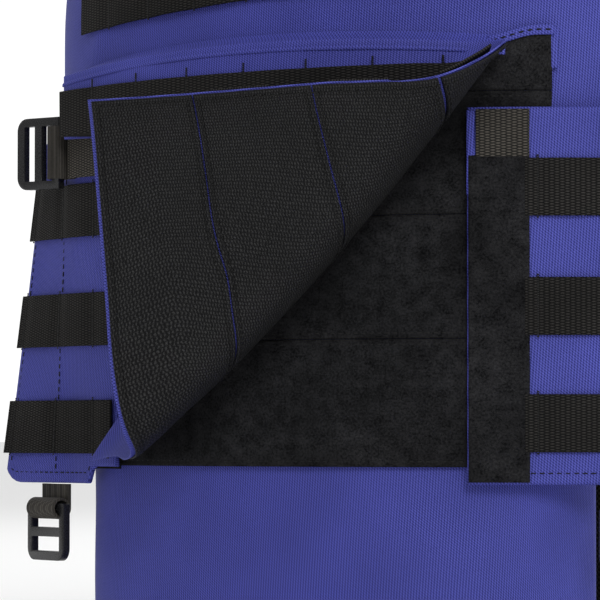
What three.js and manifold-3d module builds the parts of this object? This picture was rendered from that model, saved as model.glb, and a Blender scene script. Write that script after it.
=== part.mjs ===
// Buoyancy vest: a foam-filled front and back joined over the shoulders, side wings that
// carry rows of webbing, and a hook-and-loop flap that covers the wings' front ends.
// Millimetres. +Z is up, the vest's front faces -Y, and the origin lies between the two
// shoulder straps at the height of their undersides.

import * as THREE from 'three';
import { mergeVertices } from 'three/addons/utils/BufferGeometryUtils.js';
import Module from 'manifold-3d';

const wasm = await Module();
wasm.setup();

// Torso section: a wide arc across the chest that runs into a tighter arc at each side.
const FRONT_RADIUS = 255;
const SIDE_RADIUS = 110;
const FRONT_ARC = 120;         // half length of the wide arc
const FRONT_DEPTH = 135;       // from the vest's middle plane to the outer face
const WAIST_TAPER = 36;        // how far each side draws in at the waist
const TAPER_START = 90;        // half width past which the sides draw in
const TAPER_SPAN = 78;          // the drawing-in grows over this width past TAPER_START
const WAIST_Z = -420;
const CHEST_Z = -235;
const LEAN = 0.0016;           // how fast the chest leans back above LEAN_Z
const LEAN_Z = -210;

// Panels
const TOP_Z = -110;
const BOTTOM_Z = -510;
const HALF_WIDTH = 178;
const TOP_HALF_WIDTH = 132;
const ARMHOLE_Z = -215;
const COVER_DEPTH = 27;
const POCKET_MARGIN = 9;
const POCKET_FACE = 2.5;
const FOAM_THICKNESS = 10.2;
const FOAM_GAP = 1.7;      // room for the twist of the facets at the sides
const FOAM_SIDE_GAP = 4;
const LINING_THICKNESS = 2.4;
const GAP = 0.5;
const STEP = 16;               // spacing of the grid lines that every layer shares

// Webbing and tapes
const WEBBING = 25;
const WEBBING_THICKNESS = 1.5;
const ROW_PITCH = 50.8;
const TAPE_THICKNESS = 1.6;

// Layers outside the cover: loop tape, wing, wing strip, flap hook tape, flap, flap webbing
const LOOP_N = 0.8;
const WING_N = 4;
const WING_THICKNESS = 3;
const STRIP_N = 8;
const INNER_STRIP_N = 2.7;      // the left wing's strip faces the panel
const HOOK_N = 10.5;
const FLAP_N = 13.6;
const FLAP_THICKNESS = 2.4;
const FLAP_WEBBING_N = 17;

// Flap
const FLAP_TOP = -225;
const FLAP_BOTTOM = -415;
const FLAP_HALF = 122;
const FOLD_OFFSET = -321.5;    // the fold line is z = s + FOLD_OFFSET
const FOLD_RADIUS = 22;
const FOLD_ANGLE = 160;
const FOLD_MIDDLE = 20;        // arc length at which the fold's axis touches the flap's plane
const FLAP_PAST_FOLD = 10;
const CORNER_START = 52;
const CORNER_TOP = -286;
const FLAP_ROWS = [-237, -287.8, -338.6];
const FLAP_CUT = 82;            // below its first row the flap's left edge is cut back to here
const FLAP_CUT_TOP = -264;
const FLAP_CUT_SLANT = 22;      // height over which that edge slants out again to the bottom
const TAPE_PITCH = 50;

// Wings
const WING_TOP = -262;
const WING_BOTTOM = -425;
const WING_END = 91;
const WING_HINGE = 120;
const WING_LENGTH = 58;
const WING_SEAM = 2;           // the rear part starts this far past the hinge line
const WING_ROWS = [-284.2, -335.6, -386];
const TAB_TOP_Z = -269;
const TAB_TAIL = 12;           // longest run of webbing between the wing and a top buckle
const TOP_EYE = { left: 12, right: 44 };   // distance of the top buckle's bar past the hinge
const TOP_TILT = 17;           // degrees that the top buckle stands off the wing
const BOTTOM_EYE_W = { left: 25, right: 45 };
const BOTTOM_EYE_Z = -437;

// Tri-glide buckles
const GLIDE_WIDTH = 34;
const GLIDE_LENGTH = 27;
const GLIDE_THICKNESS = 4;
const GLIDE_BAR = 4.5;
const GLIDE_CORNER = 6;
const SLOT_LENGTH = 26;
const EYE_INNER = 3.8;
const EYE_OUTER = 5.1;

// Shoulders
const SHOULDER_IN = 62;
const SHOULDER_OUT = 112;
const SHOULDER_THICKNESS = 12;
const SHOULDER_DEPTH = 90;
const SHOULDER_GAP = 4;

const vest = new THREE.Group();

const material = (color, roughness) =>
  new THREE.MeshStandardMaterial({ color, roughness, metalness: 0 });
const BLUE = material(0x46499f, 0.75);
const WEB = material(0x1b1b1d, 0.7);
const HOOK = material(0x262628, 0.6);
const LOOP = material(0x141416, 0.95);
const FOAM = material(0xd9d9d2, 0.9);
const MESH = material(0x17171b, 0.85);
const PLASTIC = material(0x1c1c1e, 0.4);

const smooth = (t) => {
  const u = Math.min(1, Math.max(0, t));
  return u * u * (3 - 2 * u);
};

// The vest's surface: arc length s from the middle, height z, and offset n outwards.
function wrap(s, z, n) {
  const a = Math.abs(s);
  const front = Math.min(a, FRONT_ARC) / FRONT_RADIUS;
  const side = Math.max(0, a - FRONT_ARC) / SIDE_RADIUS;
  const turn = front + side;
  const corner = FRONT_RADIUS - SIDE_RADIUS;
  const inArc = a <= FRONT_ARC;
  const radius = inArc ? FRONT_RADIUS : SIDE_RADIUS;
  const cx = inArc ? 0 : corner * Math.sin(front);
  const cy = inArc ? 0 : corner * Math.cos(front);
  const face = cx + radius * Math.sin(turn);
  const waist = 1 - smooth((z - WAIST_Z) / (CHEST_Z - WAIST_Z));
  const out = Math.max(0, face - TAPER_START) / TAPER_SPAN;
  const x = face + n * Math.sin(turn) - WAIST_TAPER * waist * Math.min(1, out) * out;
  const y = cy + (radius + n) * Math.cos(turn) + FRONT_DEPTH - FRONT_RADIUS;
  const lean = LEAN * Math.max(0, z - LEAN_Z) ** 2;
  return new THREE.Vector3(Math.sign(s) * x, lean - y, z);
}

// Grid lines from a to b, with the shared lines of the given spacing between them.
function lines(a, b, step = STEP) {
  const inner = [];
  for (let k = Math.ceil(a / step + 0.1); k * step < b - 0.1 * step; k++) inner.push(k * step);
  return [a, ...inner, b];
}

const even = (a, b, count) => Array.from({ length: count + 1 }, (_, k) => a + ((b - a) * k) / count);

// A closed block whose grid lines along its three directions are moved by place(u, v, n).
function block(us, vs, ns, place) {
  const [nu, nv, nn] = [us.length - 1, vs.length - 1, ns.length - 1];
  const box = new THREE.BoxGeometry(nu, nn, nv, nu, nn, nv);
  box.deleteAttribute('normal');
  box.deleteAttribute('uv');
  const geometry = mergeVertices(box);
  const position = geometry.attributes.position;
  for (let k = 0; k < position.count; k++) {
    const u = us[Math.round(position.getX(k) + nu / 2)];
    const n = ns[Math.round(nn / 2 - position.getY(k))];
    const v = vs[Math.round(position.getZ(k) + nv / 2)];
    const p = place(u, v, n);
    position.setXYZ(k, p.x, p.y, p.z);
  }
  return geometry;
}

function toSolid(geometry) {
  return new wasm.Manifold(new wasm.Mesh({
    numProp: 3,
    vertProperties: new Float32Array(geometry.attributes.position.array),
    triVerts: new Uint32Array(geometry.index.array),
  }));
}

function fromSolid(solid) {
  const mesh = solid.getMesh();
  const geometry = new THREE.BufferGeometry();
  geometry.setAttribute('position', new THREE.BufferAttribute(mesh.vertProperties, 3));
  geometry.setIndex(new THREE.BufferAttribute(mesh.triVerts, 1));
  return geometry;
}

function add(name, geometry, look, parent = vest) {
  const mesh = new THREE.Mesh(geometry, look);
  mesh.name = name;
  parent.add(mesh);
  return mesh;
}

// ---------------------------------------------------------------- front and back panels

const halfWidth = (z) =>
  HALF_WIDTH - (HALF_WIDTH - TOP_HALF_WIDTH) * smooth((z - ARMHOLE_Z) / (TOP_Z - ARMHOLE_Z));

// One layer of a panel, inset from the panel's outline by a margin.
function panelLayer(margin, n0, n1) {
  const columns = even(-1, 1, 20);
  const rows = lines(BOTTOM_Z + margin, TOP_Z - margin, 3 * STEP);
  const place = (u, z, n) => wrap(u * (halfWidth(z) - margin), z, n);
  return block(columns, rows, [n0, n1], place);
}

function panel(side, parent) {
  const shell = toSolid(panelLayer(0, -COVER_DEPTH, 0));
  const pocket = toSolid(panelLayer(POCKET_MARGIN, -COVER_DEPTH - 5, -POCKET_FACE));
  add(`${side}_cover`, fromSolid(shell.subtract(pocket)), BLUE, parent);
  const outer = -POCKET_FACE - FOAM_GAP;
  const inner = outer - FOAM_THICKNESS - FOAM_GAP;
  const foamMargin = POCKET_MARGIN + FOAM_SIDE_GAP;
  add(`${side}_foam_outer`, panelLayer(foamMargin, outer - FOAM_THICKNESS, outer), FOAM, parent);
  add(`${side}_foam_inner`, panelLayer(foamMargin, inner - FOAM_THICKNESS, inner), FOAM, parent);
  const lining = -COVER_DEPTH - FOAM_GAP;
  add(`${side}_lining`, panelLayer(0, lining - LINING_THICKNESS, lining), MESH, parent);
}

// A flat strip that follows the panel between two arc lengths and two heights.
function strip(s0, s1, z0, z1, n, thickness) {
  return block(lines(s0, s1), [z0, z1], [n, n + thickness], wrap);
}

// A shoulder strap runs along a quarter of an ellipse from the panel's top edge.
function shoulderStrap() {
  const rise = -TOP_Z - 1;
  const angles = even(0.01, Math.PI / 2 - SHOULDER_GAP / rise, 12);
  const place = (x, angle, n) => {
    const y = -(SHOULDER_DEPTH - SHOULDER_THICKNESS / 2 + n) * Math.cos(angle);
    return new THREE.Vector3(x, y, TOP_Z + 1 + (rise + n) * Math.sin(angle));
  };
  return block([SHOULDER_IN, SHOULDER_OUT], angles, [0, SHOULDER_THICKNESS], place);
}

panel('front', vest);
const back = new THREE.Group();
back.rotation.z = Math.PI;
vest.add(back);
panel('back', back);

function shoulders(suffix, parent) {
  const across = -SHOULDER_IN - SHOULDER_OUT;
  add(`left_shoulder_${suffix}`, shoulderStrap().translate(across, 0, 0), BLUE, parent);
  add(`right_shoulder_${suffix}`, shoulderStrap(), BLUE, parent);
}
shoulders('front', vest);
shoulders('back', back);

for (let k = 0; k < 2; k++) {
  const z = -182 + k * ROW_PITCH;
  const half = [128, 112][k];
  add(`chest_webbing_${k + 1}`, strip(-half, half, z - WEBBING, z, LOOP_N, WEBBING_THICKNESS), WEB);
}
for (let k = 0; k < 5; k++) {
  const z = -182 - k * ROW_PITCH;
  add(`back_webbing_${k + 1}`, strip(-96, 96, z - WEBBING, z, LOOP_N, WEBBING_THICKNESS), WEB, back);
}

// Grab handle: a strip that arches away from the back between its two sewn ends.
const HANDLE_HALF = 58;
const HANDLE_ARCH = 26;
add('grab_handle', block(even(-HANDLE_HALF, HANDLE_HALF, 12), [-154, -129], [0, 3], (s, z, n) => {
  const arch = HANDLE_ARCH * smooth(1.4 * Math.cos((s / HANDLE_HALF) * (Math.PI / 2)) - 0.2);
  return wrap(s, z, LOOP_N + n + arch);
}), WEB, back);

// ---------------------------------------------------------------- loop tapes on the front

for (let k = 0; k < 4; k++) {
  const z1 = FLAP_TOP - 3 - k * 47;
  const thickness = TAPE_THICKNESS;
  add(`loop_tape_${k + 1}`, strip(-124, 128, z1 - 46.4, z1, LOOP_N, thickness), LOOP);
}

// ---------------------------------------------------------------- flap and its corner

const foldLine = (z) => z - FOLD_OFFSET;
const SQ = Math.SQRT2;

// The flap's left edge: whole beside the first row, and cut back below it for the wing.
function flapLeft(z) {
  if (z > FLAP_CUT_TOP) return -FLAP_HALF;
  return -FLAP_CUT - Math.max(0, FLAP_BOTTOM + FLAP_CUT_SLANT - z);
}

// A layer of the flap's fixed part, from its left edge to just past the fold line.
function flapLayer(z0, z1, n0, n1, inset) {
  const right = (z) => Math.min(foldLine(z) + FLAP_PAST_FOLD * SQ - inset, FLAP_HALF - inset);
  const left = (z) => flapLeft(z) + inset;
  const place = (u, z, n) => wrap(left(z) + u * (right(z) - left(z)), z, n);
  const columns = Math.max(3, Math.round((right((z0 + z1) / 2) + FLAP_HALF) / 20));
  const turns = [FLAP_BOTTOM + FLAP_CUT_SLANT, FLAP_CUT_TOP, FLAP_CUT_TOP + 0.4];
  const inside = turns.filter((z) => z > z0 + 0.1 && z < z1 - 0.1);
  const rows = lines(z0, z1, 2 * STEP).filter((z) => inside.every((t) => Math.abs(z - t) > 3));
  return block(even(0, 1, columns), [...rows, ...inside].sort((a, b) => a - b), [n0, n1], place);
}

// A layer of the folded corner, drawn closed and then turned over about the fold's axis.
function cornerLayer(s1, z0, z1, n0, n1, inset) {
  const left = (z) => foldLine(z) + CORNER_START * SQ + inset;
  const place = (u, z, n) => wrap(s1 - (1 - u) * Math.max(s1 - left(z), 4), z, n);
  const columns = Math.max(2, Math.round((s1 - left((z0 + z1) / 2)) / 20));
  return block(even(0, 1, columns), lines(z0, z1, 2 * STEP), [n0, n1], place);
}

// The axis lies along the fold, halfway round its roll, at the middle of its length.
function foldAxis() {
  const half = THREE.MathUtils.degToRad(FOLD_ANGLE) / 2;
  const along = FOLD_RADIUS * half;
  const above = FOLD_RADIUS * (1 - half / Math.tan(half));
  const s = FOLD_MIDDLE;
  const z = s + FOLD_OFFSET;
  const normal = wrap(s, z, 1).sub(wrap(s, z, 0)).normalize();
  const across = wrap(s + 1, z, 0).sub(wrap(s - 1, z, 0)).normalize();
  const up = new THREE.Vector3(0, 0, 1);
  const line = across.clone().add(up).normalize();
  const away = across.clone().sub(up).normalize();
  const point = wrap(s, z, FLAP_N).addScaledVector(away, along).addScaledVector(normal, above);
  return { point, line };
}

const fold = foldAxis();
const corner = new THREE.Group();
corner.position.copy(fold.point);
corner.quaternion.setFromAxisAngle(fold.line, -THREE.MathUtils.degToRad(FOLD_ANGLE));
vest.add(corner);
const corner0 = new THREE.Group();
corner0.position.copy(fold.point).negate();
corner.add(corner0);

add('flap_cover', flapLayer(FLAP_BOTTOM, FLAP_TOP, FLAP_N, FLAP_N + FLAP_THICKNESS, 0), BLUE);
add('corner_cover',
  cornerLayer(FLAP_HALF, FLAP_BOTTOM, CORNER_TOP, FLAP_N, FLAP_N + FLAP_THICKNESS, 0), BLUE, corner0);

FLAP_ROWS.forEach((top, k) => {
  const n1 = FLAP_WEBBING_N + WEBBING_THICKNESS;
  const rows = [top - WEBBING, top];
  const name = `webbing_${k + 1}`;
  add(`flap_${name}`, flapLayer(...rows, FLAP_WEBBING_N, n1, 2), WEB);
  if (k > 0) {
    add(`corner_${name}`, cornerLayer(FLAP_HALF - 2, ...rows, FLAP_WEBBING_N, n1, 2), WEB, corner0);
  }
});

for (let k = 0; k < 4; k++) {
  const z0 = FLAP_BOTTOM + 2 + k * TAPE_PITCH;
  const z1 = Math.min(z0 + TAPE_PITCH - 1, FLAP_TOP - 2);
  add(`flap_hook_${k + 1}`, flapLayer(z0, z1, HOOK_N, HOOK_N + TAPE_THICKNESS, 3), HOOK);
  if (k < 3) {
    const top = Math.min(z1, CORNER_TOP - 4);
    add(`corner_hook_${k + 1}`,
      cornerLayer(FLAP_HALF - 4, z0, top, HOOK_N, HOOK_N + TAPE_THICKNESS, 3), HOOK, corner0);
  }
}

// ---------------------------------------------------------------- wings and buckles

function triGlide() {
  const outline = new THREE.Shape();
  const [w, l, r] = [GLIDE_WIDTH / 2, GLIDE_LENGTH, GLIDE_CORNER];
  const base = -GLIDE_BAR / 2;
  outline.moveTo(-w, base);
  outline.lineTo(w, base);
  outline.lineTo(w, base + l - r);
  outline.absarc(w - r, base + l - r, r, 0, Math.PI / 2, false);
  outline.lineTo(-w + r, base + l);
  outline.absarc(-w + r, base + l - r, r, Math.PI / 2, Math.PI, false);
  outline.closePath();
  const slot = (l - 3 * GLIDE_BAR) / 2;
  for (let k = 0; k < 2; k++) {
    const y = base + GLIDE_BAR + k * (GLIDE_BAR + slot);
    const hole = new THREE.Path();
    hole.moveTo(-SLOT_LENGTH / 2, y);
    hole.lineTo(-SLOT_LENGTH / 2, y + slot);
    hole.lineTo(SLOT_LENGTH / 2, y + slot);
    hole.lineTo(SLOT_LENGTH / 2, y);
    hole.closePath();
    outline.holes.push(hole);
  }
  const solid = new THREE.ExtrudeGeometry(outline, {
    depth: GLIDE_THICKNESS, bevelEnabled: false, curveSegments: 5,
  });
  return solid.translate(0, 0, -GLIDE_THICKNESS / 2);
}

// A tab of webbing whose end closes into an eye around a buckle's bar. Its tail runs
// along +X on the plane y = -EYE_OUTER, and the eye's axis is Z.
function tab(tail) {
  const outline = new THREE.Shape();
  const inner = EYE_OUTER - WEBBING_THICKNESS;
  const start = -Math.asin(inner / EYE_OUTER);
  outline.moveTo(0, -EYE_OUTER);
  outline.lineTo(tail, -EYE_OUTER);
  outline.lineTo(tail, -inner);
  outline.lineTo(EYE_OUTER * Math.cos(start), -inner);
  outline.absarc(0, 0, EYE_OUTER, start, (3 * Math.PI) / 2, false);
  const eye = new THREE.Path();
  eye.absarc(0, 0, EYE_INNER, 0, 2 * Math.PI, true);
  outline.holes.push(eye);
  const solid = new THREE.ExtrudeGeometry(outline, {
    depth: WEBBING, bevelEnabled: false, curveSegments: 10,
  });
  return solid.translate(0, 0, -WEBBING / 2);
}

// Turns a mesh so that its own X and Y axes point along the two directions given.
function turn(mesh, x, y) {
  const basis = new THREE.Matrix4().makeBasis(x, y, x.clone().cross(y));
  mesh.quaternion.setFromRotationMatrix(basis);
}

const flat = (w, z, n) => new THREE.Vector3(w, -n, z);
const slat = (w0, w1, z0, z1, n, thickness) => block([w0, w1], [z0, z1], [n, n + thickness], flat);

// A wing: its front end lies under the flap, and its rear part runs straight on from the
// hinge line, so it is drawn flat in a frame whose X axis leads away from the middle.
function wing(side) {
  const sign = side === 'left' ? -1 : 1;
  const [s0, s1] = [WING_END, WING_HINGE - GAP].map((s) => s * sign).sort((a, b) => a - b);
  add(`${side}_wing_front`, strip(s0, s1, WING_BOTTOM, WING_TOP, WING_N, WING_THICKNESS), BLUE);
  const [t0, t1] = [WING_END + 1, WING_HINGE - 1].map((s) => s * sign).sort((a, b) => a - b);
  const [stripN, stripThickness] = side === 'left' ? [INNER_STRIP_N, 1] : [STRIP_N, TAPE_THICKNESS];
  add(`${side}_wing_strip`, strip(t0, t1, WING_BOTTOM + 4, -283, stripN, stripThickness), LOOP);

  const rear = new THREE.Group();
  rear.position.copy(wrap(sign * WING_HINGE, CHEST_Z, 0)).setZ(0);
  rear.rotation.z = sign * (WING_HINGE / FRONT_RADIUS);
  vest.add(rear);
  const reach = (w0, w1) => [w0 * sign, w1 * sign].sort((a, b) => a - b);
  const piece = (name, w0, w1, z0, z1, n, thickness, look) =>
    add(`${side}_wing_${name}`, slat(...reach(w0, w1), z0, z1, n, thickness), look, rear);

  piece('panel', WING_SEAM, WING_LENGTH, WING_BOTTOM, WING_TOP, WING_N, WING_THICKNESS, BLUE);
  const n = WING_N + WING_THICKNESS + GAP;
  WING_ROWS.forEach((top, k) => {
    piece(`webbing_${k + 1}`, 2 * WING_SEAM, WING_LENGTH - 1, top - WEBBING, top, n, WEBBING_THICKNESS, WEB);
  });

  // The top buckle lies along the wing, and its bar is upright.
  const [X, Z] = [new THREE.Vector3(sign, 0, 0), new THREE.Vector3(0, 0, 1)];
  const inwards = new THREE.Vector3(0, -1, 0);
  const topTab = add(`${side}_tab_top`, tab(Math.min(TAB_TAIL, TOP_EYE[side] - 2 * WING_SEAM)), WEB, rear);
  const topGlide = add(`${side}_buckle_top`, triGlide(), PLASTIC, rear);
  for (const mesh of [topTab, topGlide]) {
    mesh.position.set(sign * TOP_EYE[side], -n - EYE_OUTER, TAB_TOP_Z);
  }
  turn(topTab, X.clone().negate(), inwards);
  const tilt = THREE.MathUtils.degToRad(TOP_TILT);
  const off = new THREE.Vector3(sign * Math.cos(tilt), -Math.sin(tilt), 0);
  turn(topGlide, Z, off);

  // The bottom buckle hangs below the wing, and its bar is level.
  const tail = WING_BOTTOM - BOTTOM_EYE_Z - GAP;
  const lowTab = add(`${side}_tab_bottom`, tab(tail), WEB, rear);
  const lowGlide = add(`${side}_buckle_bottom`, triGlide(), PLASTIC, rear);
  const lowN = WING_N + WING_THICKNESS / 2 + EYE_OUTER - WEBBING_THICKNESS / 2;
  for (const mesh of [lowTab, lowGlide]) mesh.position.set(sign * BOTTOM_EYE_W[side], -lowN, BOTTOM_EYE_Z);
  turn(lowTab, Z, inwards);
  turn(lowGlide, new THREE.Vector3(1, 0, 0), Z.clone().negate());
}
wing('left');
wing('right');

export default vest;
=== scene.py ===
"""Buoyancy vest with its front flap peeled back.

Every surface is worked out in millimetres on the vest's own coordinates: s is the arc length
from the middle of the panel, z the height, and n the offset outwards. Meshes are in metres.
"""

import math

import bmesh
import bpy
import numpy as np
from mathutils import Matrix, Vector


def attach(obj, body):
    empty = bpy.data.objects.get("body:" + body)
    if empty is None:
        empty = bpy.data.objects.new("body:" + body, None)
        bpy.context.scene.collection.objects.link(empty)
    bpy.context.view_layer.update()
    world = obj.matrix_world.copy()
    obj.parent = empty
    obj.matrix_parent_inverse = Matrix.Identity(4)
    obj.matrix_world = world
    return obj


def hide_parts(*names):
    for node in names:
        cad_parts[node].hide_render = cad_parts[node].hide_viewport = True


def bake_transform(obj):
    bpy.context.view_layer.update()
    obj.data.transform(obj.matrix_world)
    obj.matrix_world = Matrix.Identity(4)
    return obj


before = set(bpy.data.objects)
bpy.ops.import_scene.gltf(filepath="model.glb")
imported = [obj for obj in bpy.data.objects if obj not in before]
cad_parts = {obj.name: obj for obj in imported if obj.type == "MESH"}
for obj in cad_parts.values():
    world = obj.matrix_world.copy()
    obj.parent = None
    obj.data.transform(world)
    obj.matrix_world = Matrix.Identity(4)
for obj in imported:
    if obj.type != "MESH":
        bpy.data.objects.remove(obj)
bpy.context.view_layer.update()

MM = 0.001
ROOT2 = math.sqrt(2)

# Torso section
FRONT_RADIUS = 255
SIDE_RADIUS = 110
FRONT_ARC = 120
FRONT_DEPTH = 135
WAIST_TAPER = 36
TAPER_START = 90
TAPER_SPAN = 78
WAIST_Z = -420
CHEST_Z = -235
LEAN = 0.0016
LEAN_Z = -210

# Panels
TOP_Z = -110
BOTTOM_Z = -510
HALF_WIDTH = 178
TOP_HALF_WIDTH = 132
ARMHOLE_Z = -215
COVER_DEPTH = 27
COVER_ROUND = 9           # the width of the cover's rounded edge
LINING = 2.4

# Webbing and tapes
WEBBING = 25
ROW_PITCH = 50.8
COLUMN = 29.6             # from one bar tack to the next
TACK_REACH = 9            # how far from a tack the webbing stands fully out
CHEST_ROW = -182

# Flap
FLAP_N = 13.6
FLAP_TOP = -225
FLAP_BOTTOM = -415
FLAP_HALF = 122
FLAP_CLOTH = 2.4
FOLD_OFFSET = -321.5
FOLD_RADIUS = 22
FOLD_ANGLE = math.radians(160)
FOLD_MIDDLE = 20
FOLD_LENGTH = FOLD_RADIUS * FOLD_ANGLE
FOLD_BULGE = 12           # how far the roll swells out at its middle
FOLD_CREASE = 8           # how far the cloth sinks where the roll ends
FOLD_PINCH = 9            # how far the roll's lower end is drawn in
PINCH_SHARE = 0.35        # the part of the roll that is drawn in
BOTTOM_BAND = 30          # the height over which the bottom edge's own shape fades out
LOW_LEAN = 4.5            # how far the roll's lower end stands to the right
HIGH_LEAN = 1.4           # how far the cloth just past the roll stands to the left
HOOK_EDGES = (-413.5, -371, -319, -266, -227)
FLAP_ROWS = (-237, -287.8, -338.6)
FLAP_CUT = 78
FLAP_CUT_TOP = -264
FLAP_CUT_SLANT = 22

# Wings
WING_TOP = -262
WING_BOTTOM = -425
WING_END = 91
WING_HINGE = 120
WING_LENGTH = 58
WING_N = 4
WING_ROWS = (-284.2, -335.6, -386)
TAB_Z = -269
FLEX_START = -3           # from here to FLEX_END, measured from the hinge: a span put in the wing's body tuple, whose points nothing reads
FLEX_END = 9
FLEX_Z = -340

# Shoulders
SHOULDER_IN = 62
SHOULDER_OUT = 112
SHOULDER_DEPTH = 90
SHOULDER_THICK = 12
STRAP_REACH = 100         # length of strap to a radian of its arch
STRAP_TOP = 157.08        # where the strap reaches the top of the shoulder
STRAP_ROUND = 314.2       # the whole arch, from the front panel to the back


# ------------------------------------------------------------------ surfaces

def smooth(t):
    """Smoothstep: 3t^2 - 2t^3 of t clipped to 0..1."""
    t = np.clip(t, 0, 1)
    return t * t * (3 - 2 * t)


def wrap(s, z, n):
    """The panel's surface: a wide arc as far as FRONT_ARC, then a tighter arc, drawn in at the
    waist by a square law of the distance past TAPER_START, and leaning back above LEAN_Z."""
    s, z, n = np.broadcast_arrays(np.asarray(s, float), np.asarray(z, float), np.asarray(n, float))
    a = np.abs(s)
    front = np.minimum(a, FRONT_ARC) / FRONT_RADIUS
    turn = front + np.maximum(0, a - FRONT_ARC) / SIDE_RADIUS
    wide = a <= FRONT_ARC
    radius = np.where(wide, FRONT_RADIUS, SIDE_RADIUS)
    centre = np.where(wide, 0, FRONT_RADIUS - SIDE_RADIUS)
    face = centre * np.sin(front) + radius * np.sin(turn)
    waist = 1 - smooth((z - WAIST_Z) / (CHEST_Z - WAIST_Z))
    out = np.maximum(0, face - TAPER_START) / TAPER_SPAN
    x = face + n * np.sin(turn) - WAIST_TAPER * waist * np.minimum(1, out) * out
    y = centre * np.cos(front) + (radius + n) * np.cos(turn) + FRONT_DEPTH - FRONT_RADIUS
    lean = LEAN * np.maximum(0, z - LEAN_Z) ** 2
    return np.stack([np.sign(s) * x, lean - y, z], -1)


def unit(v):
    """v divided by its own length."""
    return v / np.linalg.norm(v, axis=-1, keepdims=True)


def fold_axis():
    """The line that the corner turns about: parallel to the fold, halfway round its roll."""
    half = FOLD_ANGLE / 2
    s, z = FOLD_MIDDLE, FOLD_MIDDLE + FOLD_OFFSET
    normal = unit(wrap(s, z, 1) - wrap(s, z, 0))
    across = unit(wrap(s + 1, z, 0) - wrap(s - 1, z, 0))
    up = np.array([0, 0, 1])
    away = unit(across - up)
    point = wrap(s, z, FLAP_N) + away * FOLD_RADIUS * half
    return point + normal * FOLD_RADIUS * (1 - half / math.tan(half)), unit(across + up)


FOLD_POINT, FOLD_LINE = fold_axis()


def turned(p):
    """p turned about the fold's axis by minus the fold angle, by Rodrigues' formula."""
    v = p - FOLD_POINT
    c, s = math.cos(-FOLD_ANGLE), math.sin(-FOLD_ANGLE)
    along = (v @ FOLD_LINE)[..., None] * FOLD_LINE
    return FOLD_POINT + v * c + np.cross(FOLD_LINE, v) * s + along * (1 - c)


def near_bottom(z):
    """1 at the flap's bottom edge, falling to 0 at BOTTOM_BAND above it."""
    return smooth((FLAP_BOTTOM + BOTTOM_BAND - z) / BOTTOM_BAND)


def flap(s, z, n):
    """The flap: flat on the panel before the fold line, a roll of FOLD_RADIUS past it, and the
    turned-over corner after the roll. d is the distance past the fold line. The soft part adds
    a swell of the roll, a crease where it ends, and a sideways lean of the bottom edge, each a
    bell or a smoothstep of d."""
    s, z, n = np.broadcast_arrays(np.asarray(s, float), np.asarray(z, float), np.asarray(n, float))
    d = (s - z + FOLD_OFFSET) / ROOT2
    s0, z0 = s - d / ROOT2, z + d / ROOT2
    base = wrap(s0, z0, FLAP_N)
    normal = unit(wrap(s0, z0, 1) - wrap(s0, z0, 0))
    away = unit(unit(wrap(s0 + 1, z0, 0) - wrap(s0 - 1, z0, 0)) - np.array([0, 0, 1]))

    def rolled(angle, lift):
        """A circle of FOLD_RADIUS, less the lift, that starts level with the panel."""
        r = (FOLD_RADIUS - lift)[..., None]
        return base + away * r * np.sin(angle) + normal * (FOLD_RADIUS - r * np.cos(angle))

    along = (z0 - FLAP_BOTTOM) / (FLAP_TOP - FLAP_BOTTOM)
    pinch = FOLD_PINCH * np.clip(1 - along / PINCH_SHARE, 0, 1) ** 2
    swell = FOLD_BULGE * np.sin(np.pi * np.clip(along, 0, 1)) - pinch
    spread = smooth((d + 10) / 36) * smooth((FOLD_LENGTH + 22 - d) / 44)
    fading = np.clip(1.3 - 1.9 * along, 0, 1) * smooth((z - FLAP_BOTTOM - 10) / 50)
    crease = np.exp(-((d - FOLD_LENGTH - 2) / 7) ** 2) * fading
    end = turned(wrap(s0 + FOLD_LENGTH / ROOT2, z0 - FOLD_LENGTH / ROOT2, FLAP_N))
    miss = end - rolled(FOLD_ANGLE, np.zeros_like(n))
    angle = np.clip(d / FOLD_RADIUS, 0, FOLD_ANGLE)[..., None]
    roll = rolled(angle, n) + smooth(angle / FOLD_ANGLE) * miss
    flat = wrap(s, z, FLAP_N + n)
    corner = turned(flat)
    lean = LOW_LEAN * np.exp(-((d - 36) / 13) ** 2) - HIGH_LEAN * np.exp(-((d - 68) / 14) ** 2)
    soft = away * (swell * spread)[..., None] - normal * (FOLD_CREASE * crease)[..., None]
    soft = soft + (lean * near_bottom(z))[..., None] * np.array([1, 0, 0])
    past = np.where(d[..., None] < FOLD_LENGTH, roll, corner)
    return soft + np.where(d[..., None] <= 0, flat, past)


def flap_left(z):
    """The flap's left edge: whole beside the first row, cut back below it, and slanting out
    again to the bottom."""
    slant = np.maximum(0, FLAP_BOTTOM + FLAP_CUT_SLANT - z)
    cut = -FLAP_CUT - slant
    return cut + (-FLAP_HALF - cut) * smooth((z - FLAP_CUT_TOP + 1) / 1.6)


def sag(s):
    """How far the hinge seam hangs below its straight line, more towards both ends."""
    return 1.5 + 6 * ((np.asarray(s, float) - 10) / 120) ** 2


def cut_flap(s, z, n):
    """The flap's surface, drawn in to the cut left edge, sagging along its hinge seam, and with
    a bottom edge that is a little longer past the fold."""
    s, z = np.asarray(s, float), np.asarray(z, float)
    past = np.clip((s + 93) / 215, 0, 1)
    longer = (2.3 * smooth(past / 0.1) + 5.5 * np.sin(np.pi * past)) * near_bottom(z)
    z = z - sag(s) * smooth((z + 240) / 16) - longer
    share = (FLAP_HALF - s) / (2 * FLAP_HALF)
    return flap(FLAP_HALF - share * (FLAP_HALF - flap_left(z)), z, n)


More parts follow.
